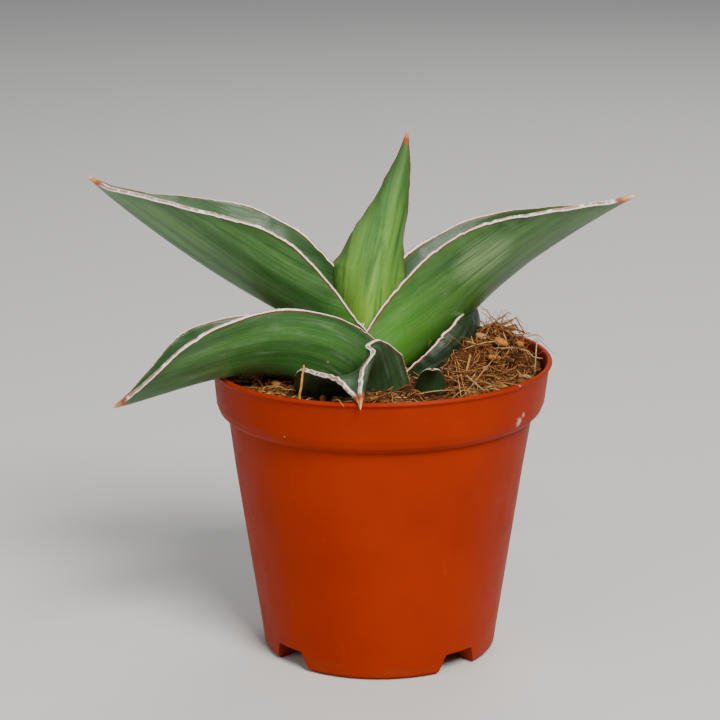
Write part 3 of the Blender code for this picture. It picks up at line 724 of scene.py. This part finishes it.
def build_leaves(cutting):
    """Fine leaves, each cut where the CAD leaf is cut: by the crown and the leaves inside it.
    Gives a point cloud of all the leaves, for the loose pieces to keep clear of."""
    cloud = []
    cutters = [add_mesh("cut_crown", *crown_shape(0.05, 48), cutting)]
    for index, (name, leaf) in enumerate(LEAVES.items()):
        leaf["wave"] = leaf_waves(index)
        stations = STATIONS if is_big(leaf) else SMALL_STATIONS
        verts, faces, data = leaf_body(leaf, stations, HALF_COLUMNS)
        look = LEAF_LOOKS[name]
        made = add_piece("fine_" + name, verts, faces,
                         leaf_material("fine_" + name, leaf, look), [name])
        cut(made, cutters)
        largest_part(made)
        tree = point_tree((verts + POT_AXIS) * MM)
        nearest = [tree.find(vert.co)[1] for vert in made.data.vertices]
        for column, key in enumerate(LEAF_VALUES):
            layer = made.data.attributes.new(key, "FLOAT", "POINT")
            layer.data.foreach_set("value", data[nearest, column].astype(np.float32))
        made.data.update()
        cloud.append(np.array([list(vert.co) for vert in made.data.vertices]) / MM - POT_AXIS)
        rough = leaf_body(leaf, 60, 14, grow=0.05, detail=False)
        cutters.append(add_mesh("cut_" + name, rough[0], rough[1], cutting))
    for cutter in cutters:
        bpy.data.objects.remove(cutter)
    return np.vstack(cloud)


# ------------------------------------------------------------------ crown

def crown_shape(grow, sides):
    """The hidden stem, as a turned body."""
    outline = [(0.0, 54.0 - grow), (5.1 + grow, 54.0 - grow), (8.5 + grow, 57.5), (8.5 + grow, 62.0),
               (6.0 + grow, 66.0), (4.5 + grow, 74.0), (2.7 + grow, 76.0 + grow), (0.0, 76.0 + grow)]
    angles = np.linspace(0, 2 * np.pi, sides, endpoint=False)
    verts = [(CROWN_AT[0], CROWN_AT[1], outline[0][1])]
    for radius, height in outline[1:-1]:
        for angle in angles:
            verts.append((CROWN_AT[0] + radius * math.cos(angle),
                          CROWN_AT[1] + radius * math.sin(angle), height))
    verts.append((CROWN_AT[0], CROWN_AT[1], outline[-1][1]))
    rows = len(outline) - 2
    faces = ring_faces(rows, sides, first=1)
    last = len(verts) - 1
    for step in range(sides):
        after = (step + 1) % sides
        faces.append((0, 1 + after, 1 + step))
        faces.append((last, 1 + (rows - 1) * sides + step, 1 + (rows - 1) * sides + after))
    return verts, faces


def build_crown():
    g = Graph("crown_tissue")
    grain = g.noise(g.place((1, 1, 0.15)), 0.9, 4.0, 0.6)
    colour = g.mix(g.ramp(grain, 0.3, 0.7), (0.24, 0.16, 0.07), (0.52, 0.44, 0.26))
    g.set(Base_Color=colour, Roughness=0.75)
    g.bump(grain, 0.5, 0.0004)
    verts, faces = crown_shape(0.0, 64)
    verts = np.array(verts)
    angle = np.arctan2(verts[:, 1] - CROWN_AT[1], verts[:, 0] - CROWN_AT[0])
    ripple = 1 + 0.02 * np.sin(7 * angle + verts[:, 2] * 0.4)
    verts[:, :2] = CROWN_AT + (verts[:, :2] - CROWN_AT) * ripple[:, None]
    add_piece("crown_stem", verts, faces, g.material, ["crown"])


# ------------------------------------------------------------------ pot

def rounded(points, radius, steps=3):
    """Round the corners of an open outline."""
    done = [points[0]]
    for before, here, after in zip(points, points[1:], points[2:]):
        a = Vector(before)
        b = Vector(here)
        c = Vector(after)
        r = min(radius, (a - b).length * 0.45, (c - b).length * 0.45)
        start = b + (a - b).normalized() * r
        end = b + (c - b).normalized() * r
        for step in range(steps + 1):
            t = step / steps
            point = start * (1 - t) ** 2 + b * 2 * t * (1 - t) + end * t * t
            done.append((point.x, point.y))
    done.append(points[-1])
    return done


def pot_material():
    """Satin plastic with faint flow marks, scuffs and flecks, and soil dust inside."""
    g = Graph("pot_plastic")
    place = g.place()
    cloud = g.noise(place, 0.035, 4.0, 0.6)
    grain = g.noise(place, 1.6, 3.0, 0.6)
    colour = g.mix(g.ramp(cloud, 0.3, 0.7), (0.265, 0.0155, 0.0002), (0.310, 0.0195, 0.0003))
    flow = g.noise(g.place((0.35, 0.35, 1.4)), 0.5, 4.0, 0.7)
    colour = g.tint(colour, g.ramp(flow, 0.62, 0.80), 0.18, (0.56, 0.11, 0.030))
    scuff = g.noise(g.place((0.9, 0.9, 0.5)), 0.16, 6.0, 0.75)
    colour = g.tint(colour, g.ramp(scuff, 0.60, 0.76), 0.10, (0.60, 0.22, 0.12))
    fleck = g.times(g.ramp(g.cells(place, 0.17), 0.045, 0.028),
                    g.ramp(g.noise(place, 0.31, 1.0), 0.60, 0.63))
    colour = g.mix(fleck, colour, (0.80, 0.62, 0.52))
    # a dab of pale dust on the band and two flecks by the lip
    ragged = g.noise(place, 0.9, 4.0, 0.7)
    for x, y, z, size, strength in ((36.0, -25.3, 67.9, 1.8, 0.50), (23.9, -37.0, 78.2, 0.7, 0.9),
                                    (35.2, -27.7, 78.2, 0.6, 0.9), (36.8, -24.0, 69.6, 1.0, 0.30)):
        away = g.plus(g.distance(place, (x + POT_AXIS[0], y + POT_AXIS[1], z)),
                      g.sway(ragged, size * 2.4))
        colour = g.tint(colour, g.ramp(away, size, size * 0.15), strength, (0.85, 0.72, 0.66))
    # soil dust along the feet and inside
    low = g.times(g.ramp(g.height(place), 7.0, 0.5), g.ramp(flow, 0.42, 0.66))
    colour = g.tint(colour, low, 0.35, (0.16, 0.060, 0.025))
    inside = g.attribute("inside")
    colour = g.tint(colour, inside, 0.45, (0.20, 0.025, 0.008))
    dust = g.ramp(g.noise(place, 0.5, 5.0, 0.7), 0.48, 0.66)
    colour = g.tint(colour, g.times(inside, dust), 0.5, (0.16, 0.075, 0.03))
    rough = g.plus(0.46, g.times(g.ramp(scuff, 0.40, 0.72), 0.12))
    g.set(Base_Color=colour, Specular_IOR_Level=0.08, Roughness=rough)
    g.bump(g.plus(g.times(grain, 0.35), g.times(g.noise(place, 0.12, 2.0), 1.2)), 0.18, 0.0003)
    return g.material


def pot_outline():
    """Closed outline of the wall, floor and foot ring, with its corners rounded."""
    def wall_radius(z):
        share = (z - SKIRT_LIFT) / (BAND_LOW - SKIRT_LIFT)
        return WALL_LOW_RADIUS + (WALL_TOP_RADIUS - WALL_LOW_RADIUS) * share

    outside = [(26.6, 0.0), (29.9, 0.0), (30.25, 0.2), (30.3, 0.75), (30.9, SKIRT_LIFT), (31.1, 1.15)]
    outside += [(wall_radius(z), z) for z in (5.0, 20.0, 35.0, 50.0)]
    outside += [
        (40.15, 63.7), (40.2, 64.55), (41.2, 64.75), (42.55, 66.1), (43.3, 68.1),
        (44.2, 76.9), (44.4, 77.45), (44.85, 77.6), (44.95, 78.0), (44.7, RIM_HEIGHT),
        (43.75, 78.5), (43.45, 78.1), (43.3, 77.0), (42.4, 68.1), (39.5, 63.7)]
    outside += [(wall_radius(z) - WALL, z) for z in (30.0, FLOOR_TOP + 2.0)]
    outside += [(wall_radius(FLOOR_TOP) - WALL - 1.6, FLOOR_TOP), (0.0, FLOOR_TOP)]
    underside = [(0.0, FLOOR_LOW), (25.0, FLOOR_LOW), (PAD_INNER, 5.8), (PAD_INNER, 0.6), (26.6, 0.0)]
    line = rounded(outside, 0.22, 3) + rounded(underside, 0.3, 2)[:-1]
    # finer steps on the long straight runs
    fine = []
    for (r0, z0), (r1, z1) in zip(line, line[1:] + line[:1]):
        count = max(1, int(math.hypot(r1 - r0, z1 - z0) / 3.0))
        for step in range(count):
            fine.append((r0 + (r1 - r0) * step / count, z0 + (z1 - z0) * step / count))
    return fine


def prism(name, ends, cutting):
    """Closed cutter between two equal outlines."""
    count = len(ends[0])
    faces = [tuple(range(count))[::-1], tuple(range(count, 2 * count))]
    faces += [(s, (s + 1) % count, count + (s + 1) % count, count + s) for s in range(count)]
    made = add_mesh(name, np.vstack(ends), faces, cutting)
    mend(made)
    return made


def drain(name, centre, radius, cutting):
    angle = np.linspace(0, 2 * np.pi, 40, endpoint=False)
    ends = [centre + np.stack((radius * np.cos(angle), radius * np.sin(angle),
                               np.full(40, z)), 1) for z in (4.5, 9.0)]
    return prism(name, ends, cutting)


def pot_cutters(cutting):
    """A trapezoid notch and a drain hole between each two feet, and the middle drain hole."""
    half = [(6.8, -1.0), (6.5, 0.0), (4.5, NOTCH_HEIGHT)]
    outline = rounded([(-across, z) for across, z in half] + half[::-1], 0.6, 3)
    cutters = []
    for index in range(FOOT_COUNT):
        angle = math.radians(NOTCH_FIRST_DEG + index * 360.0 / FOOT_COUNT - 90.0)
        out = np.array((math.cos(angle), math.sin(angle), 0.0))
        side = np.array((-out[1], out[0], 0.0))
        ends = [[out * distance + side * across + np.array((0, 0, z)) for across, z in outline]
                for distance in (PAD_INNER - 3.0, 34.0)]
        cutters.append(prism(f"cut_notch_{index}", ends, cutting))
        cutters.append(drain(f"cut_drain_{index}", out * DRAIN_SIDE_DISTANCE, DRAIN_SIDE_RADIUS,
                             cutting))
    cutters.append(drain("cut_drain_centre", np.zeros(3), DRAIN_CENTRE_RADIUS, cutting))
    return cutters


def build_pot(cutting):
    """Turned pot, a little out of round at the rim, with its notches and drain holes."""
    outline = pot_outline()
    count = len(outline)
    lip = max(range(count), key=lambda step: outline[step][1])
    base = next(step for step in range(lip, count) if outline[step][0] < 1e-6)
    verts = []
    inside = []
    faces = []
    for number in range(POT_SIDES):
        angle = 2 * math.pi * number / POT_SIDES
        for radius, z in outline:
            high = max(0.0, (z - 50) / 28.4)
            r = radius + (0.16 * math.sin(2 * angle + 0.6) + 0.10 * math.sin(3 * angle + 2.0)) * high
            lean = 0.35 * high * math.cos(angle) + 0.12 * high * math.sin(3 * angle)
            verts.append((r * math.cos(angle) + RIM_LEAN * high, r * math.sin(angle),
                          z + lean * high))
        inside += [float(lip < step <= base) for step in range(count)]
        here = number * count
        there = (number + 1) % POT_SIDES * count
        for step in range(count):
            after = (step + 1) % count
            if max(outline[step][0], outline[after][0]) > 1e-6:
                faces.append((here + step, there + step, there + after, here + after))
    pot = add_piece("pot_moulding", verts, faces, pot_material(), ["pot"], {"inside": inside})
    mend(pot)
    cutters = pot_cutters(cutting)
    cut(pot, cutters)
    for cutter in cutters:
        bpy.data.objects.remove(cutter)
    pot.data.set_sharp_from_angle(angle=math.radians(38))


# ------------------------------------------------------------------ coir

def soil_height(x, y):
    """Level of the coir: nearly flat, with a broad flat-topped heap at the right."""
    reach = np.hypot(x, y) / SOIL_REACH
    level = SOIL_CENTRE + (SOIL_EDGE - SOIL_CENTRE) * reach ** 2
    away = ((x - MOUND_AT[0]) ** 2 + (y - MOUND_AT[1]) ** 2) / MOUND_SPREAD ** 2
    fade = 1 - np.maximum(0.0, reach - 0.75) / 0.25
    height = level + MOUND_HEIGHT * np.exp(-away) * np.maximum(0.0, fade)
    for bump_x, bump_y, rise, spread in BUMPS:
        height = height + rise * np.exp(-((x - bump_x) ** 2 + (y - bump_y) ** 2) / spread ** 2)
    # lower along the front of the rim
    height = height - 1.6 * np.exp(-((x + 4.0) / 18.0) ** 2 - ((y + 36.0) / 8.0) ** 2)
    height = np.where(height > MOUND_TOP, MOUND_TOP + 0.25 * (height - MOUND_TOP), height)
    return np.minimum(height, 76.6 + (1.0 - np.minimum(reach, 1.0)) * 60.0)


def lattice(x, y, seed):
    """Smooth value noise over the plane, -1..1."""
    table = np.random.default_rng(seed).uniform(-1, 1, (64, 64))
    column = np.floor(x).astype(int)
    row = np.floor(y).astype(int)
    fx = x - column
    fy = y - row
    fx = fx * fx * (3 - 2 * fx)
    fy = fy * fy * (3 - 2 * fy)

    def at(i, j):
        return table[(column + i) % 64, (row + j) % 64]

    return ((at(0, 0) * (1 - fx) + at(1, 0) * fx) * (1 - fy)
            + (at(0, 1) * (1 - fx) + at(1, 1) * fx) * fy)


def soil_relief(x, y):
    """Surface of the bed: lumps everywhere, and pits in the heap."""
    rough = (0.75 * lattice(x / 3.4, y / 3.4, 1) + 0.50 * lattice(x / 1.5, y / 1.5, 2)
             + 0.28 * lattice(x / 0.7, y / 0.7, 3))
    heap = np.exp(-((x - 28.0) ** 2 + (y - 9.0) ** 2) / 14.0 ** 2)
    pits = lattice(x / 4.6 + 9.3, y / 4.6 + 2.1, 4)
    rough = rough * (1 + 0.7 * heap) + heap * (3.6 * np.minimum(pits, 0.12) + 1.3)
    return soil_height(x, y) + rough - 0.25


def at_point(surface, x, y):
    return float(surface(np.array(x), np.array(y)))


def above_soil(points):
    """Points given as x, y and height above the coir."""
    return [(x, y, at_point(soil_height, x, y) + lift) for x, y, lift in points]


def coir_material():
    g = Graph("coir_dust")
    place = g.place()
    broad = g.noise(place, 0.16, 4.0, 0.65)
    crumb = g.noise(place, 0.9, 5.0, 0.7)
    colour = g.mix(g.ramp(crumb, 0.30, 0.70), (0.012, 0.005, 0.002), (0.105, 0.038, 0.011))
    colour = g.tint(colour, g.ramp(broad, 0.42, 0.66), 0.3, (0.17, 0.065, 0.018))
    g.set(Base_Color=colour, Roughness=0.95, Specular_IOR_Level=0.15)
    g.bump(crumb, 0.9, 0.0009)
    return g.material


def strand_material(name, rough=0.8):
    """Coir in the tone stored on each strand or crumb."""
    g = Graph(name)
    tone = g.attribute("tone", True)
    grain = g.noise(g.place(), 1.8, 4.0, 0.65)
    darker = g.mix(1.0, tone, (0.50, 0.42, 0.36), "MULTIPLY")
    g.set(Base_Color=g.mix(g.ramp(grain, 0.25, 0.75), darker, tone), Roughness=rough,
          Specular_IOR_Level=0.25)
    g.bump(grain, 0.5, 0.0002)
    return g.material


def build_coir():
    """The bed: its relief, and plain hidden sides down to the pot's floor."""
    angle = np.linspace(0, 2 * np.pi, BED_SIDES, endpoint=False)
    across = np.stack((np.cos(angle), np.sin(angle)), 1)
    rings = []
    for radius in BED_RADIUS * np.linspace(0, 1, BED_RINGS + 1)[1:]:
        x, y = (radius * across).T
        rings.append(np.stack((x, y, soil_relief(x, y)), 1))
    for radius, height in SKIRT:
        rings.append(np.column_stack((radius * across, np.full(BED_SIDES, height))))
    centre = [(0.0, 0.0, at_point(soil_relief, 0.0, 0.0))]
    bottom = [(0.0, 0.0, SKIRT[-1][1])]
    verts = np.vstack([centre] + rings + [bottom])
    faces = ring_faces(len(rings), BED_SIDES, first=1)
    last = len(verts) - 1
    for step in range(BED_SIDES):
        after = (step + 1) % BED_SIDES
        faces.append((0, 1 + step, 1 + after))
        faces.append((last, last - BED_SIDES + after, last - BED_SIDES + step))
    add_piece("coir_bed", verts, faces, coir_material(), ["coir_mix"])


def tubes(paths, radii, sides, tones):
    """Many tapered strands in one mesh."""
    verts = []
    faces = []
    colours = []
    turn = np.linspace(0, 2 * np.pi, sides, endpoint=False)
    for path, radius, tone in zip(paths, radii, tones):
        path = np.asarray(path, float)
        count = len(path)
        along = np.gradient(path, axis=0)
        along /= np.linalg.norm(along, axis=1)[:, None] + 1e-9
        reference = np.array((0.21, 0.33, 0.92))
        if abs(along[0] @ reference) > 0.9:
            reference = np.array((0.93, 0.2, 0.1))
        side = np.cross(along, reference)
        side /= np.linalg.norm(side, axis=1)[:, None] + 1e-9
        other = np.cross(along, side)
        taper = np.sin(np.pi * np.clip(np.linspace(0.06, 0.94, count), 0, 1)) ** 0.4
        start = len(verts)
        for index in range(count):
            ring = (path[index] + radius * taper[index]
                    * (np.cos(turn)[:, None] * side[index] + np.sin(turn)[:, None] * other[index]))
            verts.extend(ring)
            shade = tone * (0.85 + 0.3 * index / count)
            colours.extend([(*shade, 1.0)] * sides)
        faces += ring_faces(count, sides, first=start)
        faces.append(tuple(range(start, start + sides))[::-1])
        end = start + (count - 1) * sides
        faces.append(tuple(range(end, end + sides)))
    return np.array(verts), faces, np.array(colours)


def bent_path(start, heading, rise, length, bend, lift_bend, count, local):
    """Slightly wandering strand."""
    step = length / (count - 1)
    points = [np.array(start, float)]
    for _ in range(count - 1):
        direction = np.array((math.cos(heading) * math.cos(rise), math.sin(heading) * math.cos(rise),
                              math.sin(rise)))
        points.append(points[-1] + direction * step)
        heading += bend / count + local.normal(0, 0.10)
        rise += lift_bend / count + local.normal(0, 0.05)
    return np.array(points)


def scatter(local, reach):
    """A random place on the bed."""
    radius = reach * math.sqrt(local.uniform(0.0, 1.0))
    angle = local.uniform(0, 2 * math.pi)
    return radius * math.cos(angle), radius * math.sin(angle)


def build_fibres(leaf_tree):
    """Thousands of coir strands that lie on the bed or stick out of the heap."""
    local = np.random.default_rng(SEED + 2)

    def clear(path):
        """True where a strand misses the pot's wall and the leaves."""
        for point in path:
            if point[0] ** 2 + point[1] ** 2 > 43.0 ** 2 and point[2] < 79.5:
                return False
            if leaf_tree.find(point)[2] < 0.55:
                return False
        return True

    paths = []
    radii = []
    tones = []
    for _ in range(FIBRE_COUNT * 4):
        if len(paths) == FIBRE_COUNT:
            break
        x, y = scatter(local, 43.0)
        on_mound = math.hypot(x - MOUND_AT[0], y - MOUND_AT[1]) < 17
        if y < -27 and x > -12 and local.uniform() < 0.55:
            continue
        if on_mound and local.uniform() < 0.16:
            length = local.uniform(6, 15)
            rise = local.uniform(0.1, 1.1)
        else:
            length = min(16.0, 2.2 + local.exponential(3.6))
            rise = local.normal(0.02, 0.20)
        heading = local.uniform(0, 2 * math.pi)
        if x < 0 and local.uniform() < 0.5:
            heading = local.normal(0.0, 0.5)
        z = at_point(soil_relief, x, y) + local.uniform(-0.1, 0.7)
        path = bent_path((x, y, z), heading, rise, length, local.normal(0, 1.4),
                         local.normal(-0.25, 0.5), int(max(4, min(12, length / 1.1))), local)
        ground = soil_relief(path[:, 0], path[:, 1])
        path[:, 2] = np.maximum(path[:, 2], ground + local.uniform(0.02, 0.75))
        path[:, 2] = np.minimum(path[:, 2], ground + (6.0 if on_mound else 2.6))
        if not clear(path):
            continue
        paths.append(path)
        radii.append(local.choice((0.08, 0.11, 0.15, 0.21), p=(0.32, 0.36, 0.22, 0.10)))
        tones.append(TONES[local.choice(len(TONES), p=(0.22, 0.27, 0.25, 0.11, 0.08, 0.07))]
                     * local.uniform(0.75, 1.2))
    verts, faces, colours = tubes(paths, radii, 4, tones)
    add_piece("coir_fibres", verts, faces, strand_material("fibre"), [], {"tone": colours})


def build_crumbs(leaf_tree):
    """Granules over the bed, and the seven larger chips."""
    local = np.random.default_rng(SEED + 5)
    ball = bmesh.new()
    bmesh.ops.create_icosphere(ball, subdivisions=2, radius=0.5)
    base = np.array([list(vert.co) for vert in ball.verts])
    shape = [tuple(vert.index for vert in face.verts) for face in ball.faces]
    ball.free()

    def lump(size, centre, turn, tilt, jag):
        """A jagged rounded block."""
        corner = np.sign(base) * np.abs(base * 2) ** 0.7 * 0.5
        points = (base + corner) * 0.5
        points *= 1 + local.uniform(-jag, jag, (len(points), 1))
        points *= np.array(size)
        ct, st = math.cos(tilt), math.sin(tilt)
        points = points @ np.array(((ct, 0, -st), (0, 1, 0), (st, 0, ct)))
        cu, su = math.cos(turn), math.sin(turn)
        points = points @ np.array(((cu, su, 0), (-su, cu, 0), (0, 0, 1)))
        return points + np.array(centre)

    verts = []
    faces = []
    colours = []
    for _ in range(CRUMB_COUNT):
        x, y = scatter(local, 42.0)
        size = min(0.5 + local.exponential(0.55), 3.0)
        z = at_point(soil_relief, x, y) + size * 0.2
        if leaf_tree.find((x, y, z))[2] < size * 0.6 + 0.4:
            continue
        start = len(verts)
        block = (size * local.uniform(0.8, 1.7), size, size * local.uniform(0.4, 0.8))
        verts.extend(lump(block, (x, y, z), local.uniform(0, 6.3), local.normal(0, 0.4), 0.13))
        faces += [tuple(start + item for item in face) for face in shape]
        tone = TONES[local.choice(5, p=(0.24, 0.24, 0.24, 0.08, 0.20))] * local.uniform(0.6, 1.1)
        colours.extend([(*tone, 1.0)] * len(base))
    add_piece("coir_crumbs", verts, faces, strand_material("crumb", 0.9), [],
              {"tone": np.array(colours)})
    material = strand_material("husk", 0.75)
    for index, (point, size, turn, tilt, tone) in enumerate(CHIPS):
        points = lump([item * 1.05 for item in size], above_soil([point])[0], math.radians(turn),
                      math.radians(tilt), 0.16)
        add_piece(f"husk_{index + 1}", points, shape, material, [f"husk_chip_{index + 1}"],
                  {"tone": np.array([(*tone, 1.0)] * len(points))})


def curve_through(points, count):
    """Smooth curve through a few points."""
    points = np.asarray(points, float)
    if len(points) == 2:
        share = np.linspace(0, 1, count)[:, None]
        return points[0] * (1 - share) + points[1] * share
    padded = np.vstack((2 * points[0] - points[1], points, 2 * points[-1] - points[-2]))
    out = []
    segments = len(points) - 1
    for step in range(count):
        at = min(step / (count - 1) * segments, segments - 1e-6)
        index = int(at)
        t = at - index
        p0, p1, p2, p3 = padded[index:index + 4]
        out.append(0.5 * ((2 * p1) + (p2 - p0) * t + (2 * p0 - 5 * p1 + 4 * p2 - p3) * t * t
                          + (3 * p1 - p0 - 3 * p2 + p3) * t ** 3))
    return np.array(out)


def build_straws():
    """The loose straws, and the thin hairs that stand up or droop over the rim."""
    material = strand_material("straw", 0.7)
    for index, (radius, tone, points) in enumerate(STRAWS):
        path = curve_through(above_soil(points), 24)
        wobble = np.random.default_rng(40 + index).normal(0, 0.04, path.shape)
        verts, faces, colours = tubes([path + wobble], [radius], 8, [np.array(tone)])
        add_piece(f"straw_strand_{index + 1}", verts, faces, material,
                  [f"straw_{index + 1}"], {"tone": colours})
    paths = [curve_through(above_soil(points), 28) for _, _, points in HAIRS]
    verts, faces, colours = tubes(paths, [radius for radius, _, _ in HAIRS], 6,
                                  [np.array(tone) for _, tone, _ in HAIRS])
    add_piece("coir_hairs", verts, faces, material, [], {"tone": colours})


# ------------------------------------------------------------------ stage

def build_floor():
    g = Graph("floor_paint")
    g.set(Base_Color=(0.62, 0.61, 0.59), Roughness=0.85, Specular_IOR_Level=0.1)
    mesh = bpy.data.meshes.new("floor")
    mesh.from_pydata([(-4, -4, 0), (4, -4, 0), (4, 4, 0), (-4, 4, 0)], [], [(0, 1, 2, 3)])
    mesh.materials.append(g.material)
    floor = bpy.data.objects.new("floor", mesh)
    bpy.context.scene.collection.objects.link(floor)


def build_lights():
    """Soft studio light: a pale world, a key from the front right, a weak fill and a rim."""
    world = bpy.data.worlds.new("studio")
    world.use_nodes = True
    background = world.node_tree.nodes["Background"]
    background.inputs["Color"].default_value = (0.80, 0.84, 0.90, 1.0)
    background.inputs["Strength"].default_value = 0.33
    bpy.context.scene.world = world

    target = Vector((0.004, 0.0, 0.07))
    for name, place, size, power, colour in (
            ("key", (0.36, -0.85, 1.00), 0.50, 26.0, (1.0, 0.98, 0.94)),
            ("fill", (-0.80, -0.75, 0.55), 0.8, 3.6, (0.96, 0.98, 1.0)),
            ("rim", (0.25, 0.85, 0.95), 0.6, 5.0, (1.0, 0.99, 0.97))):
        light = bpy.data.lights.new(name, "AREA")
        light.size = size
        light.energy = power
        light.color = colour
        lamp = bpy.data.objects.new(name, light)
        lamp.location = place
        lamp.rotation_euler = (target - Vector(place)).to_track_quat("-Z", "Y").to_euler()
        bpy.context.scene.collection.objects.link(lamp)


def build_camera():
    """A long lens in front of the pot, looking down a little."""
    camera = bpy.data.cameras.new("camera")
    camera.sensor_width = 36.0
    camera.lens = 121.4
    camera.clip_start = 0.01
    view = bpy.data.objects.new("camera", camera)
    view.location = ((POT_AXIS + np.array((-5.0, -620.0, 240.4))) * MM).tolist()
    level = Matrix.Rotation(math.pi / 2 - 0.256, 3, "X")
    view.rotation_euler = (level @ Matrix.Rotation(-0.004, 3, "Z")).to_euler()
    bpy.context.scene.collection.objects.link(view)
    bpy.context.scene.camera = view


cutting = bpy.data.materials.new("cut")
leaf_tree = point_tree(build_leaves(cutting)[::3])
build_crown()
build_pot(cutting)
build_coir()
build_fibres(leaf_tree)
build_crumbs(leaf_tree)
build_straws()
build_floor()
build_lights()
build_camera()
